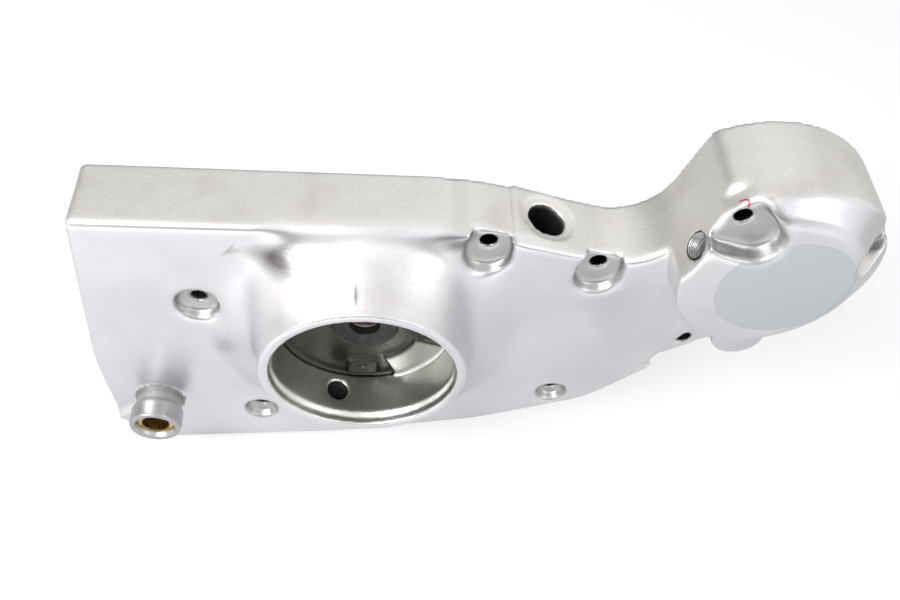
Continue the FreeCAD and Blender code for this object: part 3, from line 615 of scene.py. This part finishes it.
def hole_shade_places(points):
    """Painted shade: the insides of the screw holes, the cable hole and the port, painted dark."""
    found = np.zeros(len(points.x))
    for x, z, low in SCREW_HOLES:
        inside = fading(off_centre(points, x, z), *SCREW_HOLE_RADIUS)
        found = np.maximum(found, inside * fading(points.height, low - 0.8 * MM, low + 0.2 * MM))
    off_axis, outward = side_bore(points, 0.0, CABLE_HOLE_HEIGHT, 0.0, CABLE_HOLE_TURN)
    cable_hole = fading(off_axis, *CABLE_HOLE_RADIUS) * rising(outward, RECESS_RADIUS - 1 * MM, RECESS_RADIUS)
    off_axis, outward = side_bore(points, PORT.x, -PORT.y, PORT.z, PORT_TURN)
    port = PORT_SHADE_STRENGTH * fading(off_axis, *PORT_RADIUS) * fading(outward, *PORT_SHADE_DEPTH)
    return np.maximum(found, np.maximum(cable_hole, port))


def port_ring(points):
    off_axis, outward = side_bore(points, PORT.x, -PORT.y, PORT.z, PORT_TURN)
    return fading(off_axis, *PORT_RING_RADIUS) * rising(outward, *PORT_RING_DEPTH)


# Painted dark reflections: patches of the polished face darkened where it should mirror something dark.
def dark_reflection_places(points):
    found = np.zeros(len(points.x))
    for x, z, half_length, half_width, depth in PAINTED_DARK_REFLECTIONS:
        far = np.hypot((points.x - x) / half_length, (points.z - z) / half_width)
        found = np.maximum(found, depth * fading(far, 0.2, 1.0))
    return found


def store_channels(mesh, name, *channels):
    attribute = mesh.color_attributes.new(name, "FLOAT_COLOR", "POINT")
    attribute.data.foreach_set("color", np.column_stack(channels).ravel())


def paint_finishes(mesh):
    """Stores each point's finish, and its marks with painted shade in the holes and painted dark reflections,
    as two colour attributes.
    """
    points = read_points(mesh)
    machined = fading(points.from_axis, RECESS_RADIUS, RECESS_RADIUS + 0.6 * MM)
    machined *= rising(points.height, *MACHINED_LOW)
    ring = port_ring(points)
    raw = under_cover(mesh) * (1.0 - machined) * fading(points.height, *RAW_TOP) * (1.0 - ring)
    satin = np.maximum(satin_walls(points), ring)
    satin = np.maximum(satin, satin_slope(points) * (1.0 - raw) * (1.0 - machined))
    boss = fading(off_centre(points, *SHIFT_BOSS), *BOSS_RADIUS) * rising(points.height, *BOSS_LOW)
    store_channels(mesh, "marks_and_shade", hole_shade_places(points), dark_reflection_places(points), boss, np.ones(len(points.x)))
    store_channels(mesh, "finish", satin, raw, machined, pocket_places(points))


def add_gusset(shape):
    """The small rib between the shift boss and the cover's lower left corner."""
    start = Vector((SHIFT_BOSS[0], -GUSSET_LOW, SHIFT_BOSS[1]))
    along = GUSSET_END - start
    place = Matrix.Translation((start + GUSSET_END) / 2) @ along.to_track_quat("X", "Y").to_matrix().to_4x4()
    size = Matrix.Diagonal((along.length, GUSSET_WIDTH, GUSSET_WIDTH, 1.0))
    bmesh.ops.create_cube(shape, size=1.0, matrix=place @ size)


def casting_copy():
    """A closed copy of the casting's CAD mesh, its doubles merged, with the gusset standing in it."""
    shape = bmesh.new()
    shape.from_mesh(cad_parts["cover_casting"].data)
    bmesh.ops.remove_doubles(shape, verts=shape.verts, dist=1e-6)
    add_gusset(shape)
    mesh = bpy.data.meshes.new("cast_cover")
    shape.to_mesh(mesh)
    shape.free()
    copy = bpy.data.objects.new("cast_cover", mesh)
    bpy.context.scene.collection.objects.link(copy)
    return copy


def freeze(obj):
    """Turns the object's live modifiers into its mesh."""
    bpy.context.view_layer.update()
    shown = obj.evaluated_get(bpy.context.evaluated_depsgraph_get())
    old = obj.data
    obj.data = bpy.data.meshes.new_from_object(shown)
    obj.modifiers.clear()
    bpy.data.meshes.remove(old)


def make_skin():
    """The casting as polished by hand: an even mesh, ground softly where its forms flow together."""
    skin = casting_copy()
    remesh = skin.modifiers.new("even_skin", "REMESH")
    remesh.mode = "VOXEL"
    remesh.voxel_size = SKIN_VOXEL
    freeze(skin)
    soft = skin.vertex_groups.new(name="soft")
    weights = np.round(flowing(read_points(skin.data)), 2)
    for level in np.unique(weights):
        soft.add(np.nonzero(weights == level)[0].tolist(), float(level), "REPLACE")
    grind = skin.modifiers.new("grind", "SMOOTH")
    grind.factor = 0.5
    grind.iterations = GRIND_PASSES
    grind.vertex_group = "soft"
    thin = skin.modifiers.new("thin_out", "DECIMATE")
    thin.ratio = min(1.0, SKIN_TRIANGLES / (2.0 * len(skin.data.polygons)))
    freeze(skin)
    paint_finishes(skin.data)
    skin.data.shade_smooth()
    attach(skin, "root")
    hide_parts("cover_casting")
    return skin


def make_threads():
    """The turns of thread in the side of the gear housing: a thin sleeve with a ridged bore."""
    shape = bmesh.new()
    outline = [(THREAD_START, THREAD_RADIUS + THREAD_SLEEVE)]
    for turn in range(THREAD_TURNS):
        start = THREAD_START + turn * THREAD_PITCH
        outline.append((start, THREAD_RADIUS))
        outline.append((start + THREAD_PITCH / 2, THREAD_RADIUS - THREAD_DEPTH))
    end = THREAD_START + THREAD_TURNS * THREAD_PITCH
    outline.append((end, THREAD_RADIUS))
    outline.append((end, THREAD_RADIUS + THREAD_SLEEVE))
    points = [shape.verts.new((depth, 0.0, radius)) for depth, radius in outline]
    edges = [shape.edges.new(pair) for pair in zip(points, points[1:] + points[:1])]
    bmesh.ops.spin(shape, geom=points + edges, cent=(0, 0, 0), axis=(1, 0, 0), angle=2 * math.pi,
                   steps=64, use_merge=True, use_duplicate=False)
    bmesh.ops.remove_doubles(shape, verts=shape.verts, dist=1e-7)
    bmesh.ops.recalc_face_normals(shape, faces=shape.faces)
    crest_reach = THREAD_RADIUS - 0.4 * MM
    crests = [float(math.hypot(point.co.y, point.co.z) < crest_reach) for point in shape.verts]
    turn = Matrix.Rotation(-math.radians(THREAD_TURN + 180.0), 4, "Y")
    bmesh.ops.transform(shape, matrix=Matrix.Translation(THREAD_MOUTH) @ turn, verts=shape.verts)
    mesh = bpy.data.meshes.new("thread_turns")
    shape.to_mesh(mesh)
    shape.free()
    mesh.attributes.new("crest", "FLOAT", "POINT").data.foreach_set("value", crests)
    threads = bpy.data.objects.new("thread_turns", mesh)
    bpy.context.scene.collection.objects.link(threads)
    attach(threads, "root")
    return threads


bpy.context.scene.view_settings.view_transform = "Standard"
place_camera()
light_studio()
lay_floor(cad_box[0].z - FLOOR_GAP)
aluminium = casting_finish()
brass = brass_finish()
rubber = rubber_finish()
for name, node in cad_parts.items():
    dress(node, rubber if name == "cam_shaft_seal" else aluminium if name == "cover_casting" else brass)
dress(make_skin(), aluminium)
dress(make_threads(), thread_finish())
